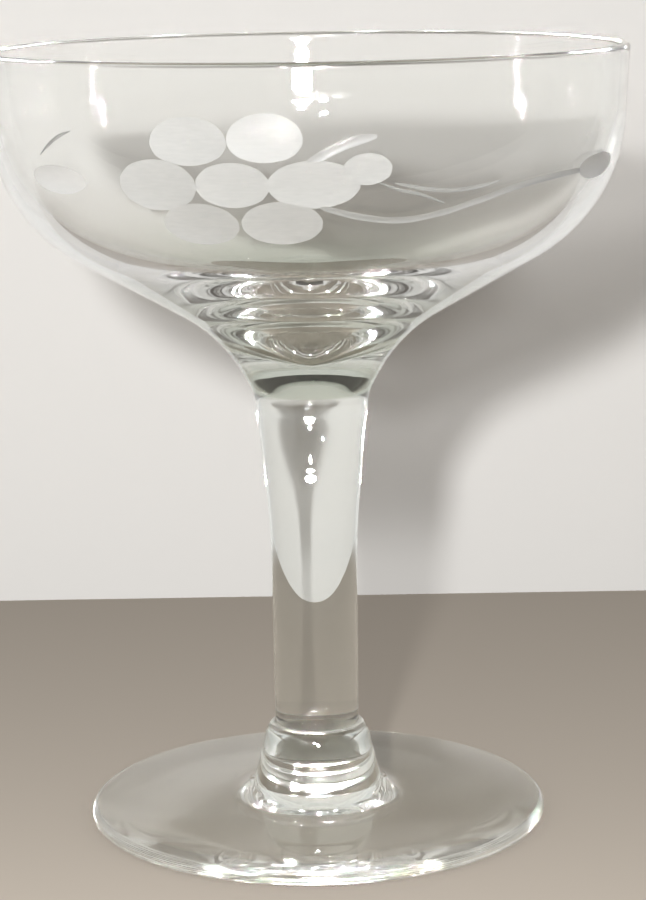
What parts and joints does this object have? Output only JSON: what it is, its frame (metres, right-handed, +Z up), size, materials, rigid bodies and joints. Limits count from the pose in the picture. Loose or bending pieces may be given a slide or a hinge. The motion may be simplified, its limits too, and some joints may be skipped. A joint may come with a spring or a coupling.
{
  "type": "sherbet glass",
  "caption": "Tall stemmed sherbet glass: wide round-shouldered bowl with a matte cut grape spray, solid waisted stem, collar knop and flat disc foot, for serving desserts and drinks.",
  "frame": {"origin": "centre of the plane that the foot stands on", "axes": "+Z up along the glass's own axis, -Y towards the side with the grape spray"},
  "size_m": [0.097, 0.097, 0.12],
  "materials": {
    "clear_glass": "polished, with the cut spray left matte"
  },
  "bodies": {
    "root": {"foot": "clear_glass", "collar": "clear_glass", "stem": "clear_glass", "bowl": "clear_glass"}
  },
  "joints": []
}
